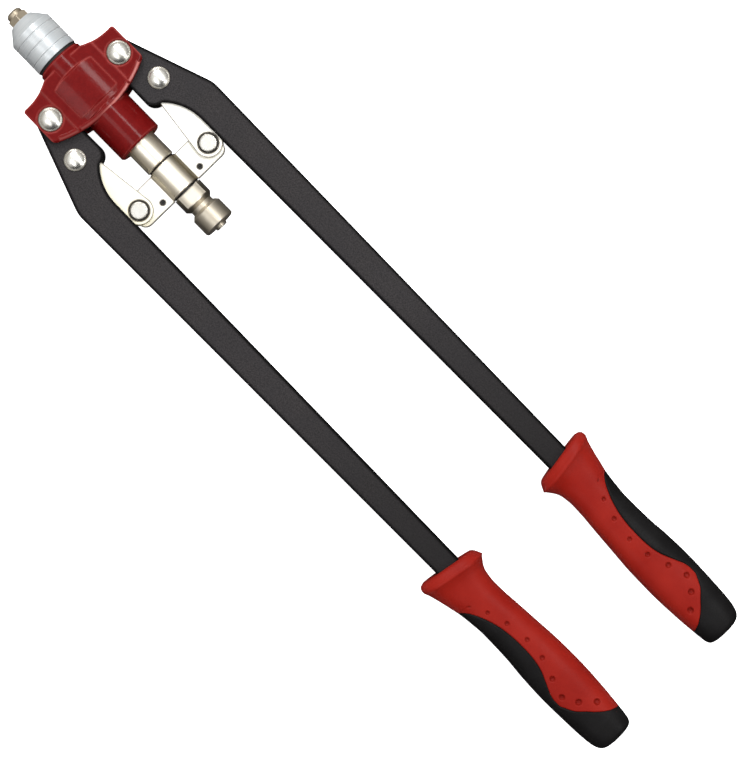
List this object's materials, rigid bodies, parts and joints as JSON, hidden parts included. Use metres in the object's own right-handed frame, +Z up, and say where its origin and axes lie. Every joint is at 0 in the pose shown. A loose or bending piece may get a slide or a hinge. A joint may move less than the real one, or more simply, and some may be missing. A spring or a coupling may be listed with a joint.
{
  "type": "lever hand riveter",
  "caption": "Long-arm two-hand blind riveter: pivoted arms pull a crosshead and jaw tube back through a nosepiece by toggle links, with two-tone grips.",
  "frame": {"origin": "centre of the nosepiece's mouth, on the tool's axis", "axes": "+X along the tool's axis towards its nose, +Z up out of the plane in which the arms swing, +Y to the left arm"},
  "size_m": [0.5273, 0.1276, 0.0308],
  "materials": {
    "nose_steel": "case-hardened steel, tan temper tint",
    "zinc": "bright zinc plate over turned steel",
    "seal_rubber": "matt",
    "red_enamel": "gloss red enamel on a casting",
    "bush_bronze": "plain bronze bearing",
    "pin_steel": "bright plated",
    "dark_steel": "blackened",
    "tube_nickel": "satin nickel, turned",
    "plate_nickel": "bright nickel plate",
    "cap_steel": "satin steel, turned",
    "jaw_steel": "hardened tool steel",
    "spring_steel": "spring wire",
    "black_paint": "matt black powder coat",
    "grip_red": "soft moulded grip, satin red",
    "grip_black": "soft moulded cover, satin black"
  },
  "bodies": {
    "head": {"nosepiece": "nose_steel", "front_sleeve": "zinc", "sleeve_seal": "seal_rubber", "housing": "red_enamel", "tube_bush": "bush_bronze", "pivot_pins": "pin_steel", "pivot_nuts": "pin_steel"},
    "pull_assembly": {"jaw_case": "dark_steel", "pull_tube": "tube_nickel", "crosshead": "plate_nickel", "plate_screws": "dark_steel", "hub_washers": "dark_steel", "lock_nut": "tube_nickel", "end_cap": "cap_steel", "stem_tube": "cap_steel", "link_pins": "pin_steel", "link_pin_nuts": "pin_steel", "link_pin_rings": "dark_steel", "jaw_spring": "spring_steel"},
    "jaw_pusher": {"jaw_pusher": "dark_steel"},
    "jaw_a": {"jaw_a": "jaw_steel"},
    "jaw_b": {"jaw_b": "jaw_steel"},
    "jaw_c": {"jaw_c": "jaw_steel"},
    "link_left": {"link_left_upper": "plate_nickel", "link_left_lower": "plate_nickel"},
    "link_right": {"link_right_upper": "plate_nickel", "link_right_lower": "plate_nickel"},
    "arm_left": {"arm_left": "black_paint", "arm_bush_left": "bush_bronze", "arm_pin_left": "pin_steel", "arm_pin_nut_left": "pin_steel", "grip_core_left": "grip_red", "grip_cover_left": "grip_black"},
    "arm_right": {"arm_right": "black_paint", "arm_bush_right": "bush_bronze", "arm_pin_right": "pin_steel", "arm_pin_nut_right": "pin_steel", "grip_core_right": "grip_red", "grip_cover_right": "grip_black"}
  },
  "joints": [
    {"name": "arm_right_open", "type": "hinge", "parent": "head", "child": "arm_right", "pos_m": [-0.0594, -0.0266, 0], "axis": [0, 0, 1], "range_deg": [0, 40]},
    {"name": "arm_left_open", "type": "hinge", "parent": "head", "child": "arm_left", "pos_m": [-0.0594, 0.0266, 0], "axis": [0, 0, -1], "range_deg": [0, 40]},
    {"name": "crosshead_slide", "type": "slide", "parent": "head", "child": "pull_assembly", "axis": [1, 0, 0], "range_m": [0, 0.01321]},
    {"name": "link_right_swing", "type": "hinge", "parent": "pull_assembly", "child": "link_right", "pos_m": [-0.12954, -0.027, 0], "axis": [0, 0, -1], "range_deg": [0, 20.1]},
    {"name": "link_left_swing", "type": "hinge", "parent": "pull_assembly", "child": "link_left", "pos_m": [-0.12954, 0.027, 0], "axis": [0, 0, 1], "range_deg": [0, 20.1]},
    {"name": "jaw_pusher_slide", "type": "slide", "parent": "pull_assembly", "child": "jaw_pusher", "axis": [1, 0, 0], "range_m": [-0.0033, 0], "stiffness_N_per_m": 200, "springref_m": 0.004},
    {"name": "jaw_a_slide", "type": "slide", "parent": "pull_assembly", "child": "jaw_a", "axis": [0.9877, 0, -0.1564], "range_m": [-0.00335, 0]},
    {"name": "jaw_b_slide", "type": "slide", "parent": "pull_assembly", "child": "jaw_b", "axis": [0.9877, 0.1355, 0.0782], "range_m": [-0.00335, 0]},
    {"name": "jaw_c_slide", "type": "slide", "parent": "pull_assembly", "child": "jaw_c", "axis": [0.9877, -0.1355, 0.0782], "range_m": [-0.00335, 0]}
  ],
  "couplings": [
    {"joint": "arm_left_open", "follows": "arm_right_open", "ratio": 1},
    {"joint": "crosshead_slide", "follows": "arm_right_open", "m_per_rad": 0.018907},
    {"joint": "link_right_swing", "follows": "arm_right_open", "ratio": 0.5},
    {"joint": "link_left_swing", "follows": "arm_right_open", "ratio": 0.5},
    {"joint": "jaw_a_slide", "follows": "jaw_pusher_slide", "ratio": 1.0125},
    {"joint": "jaw_b_slide", "follows": "jaw_pusher_slide", "ratio": 1.0125},
    {"joint": "jaw_c_slide", "follows": "jaw_pusher_slide", "ratio": 1.0125}
  ]
}
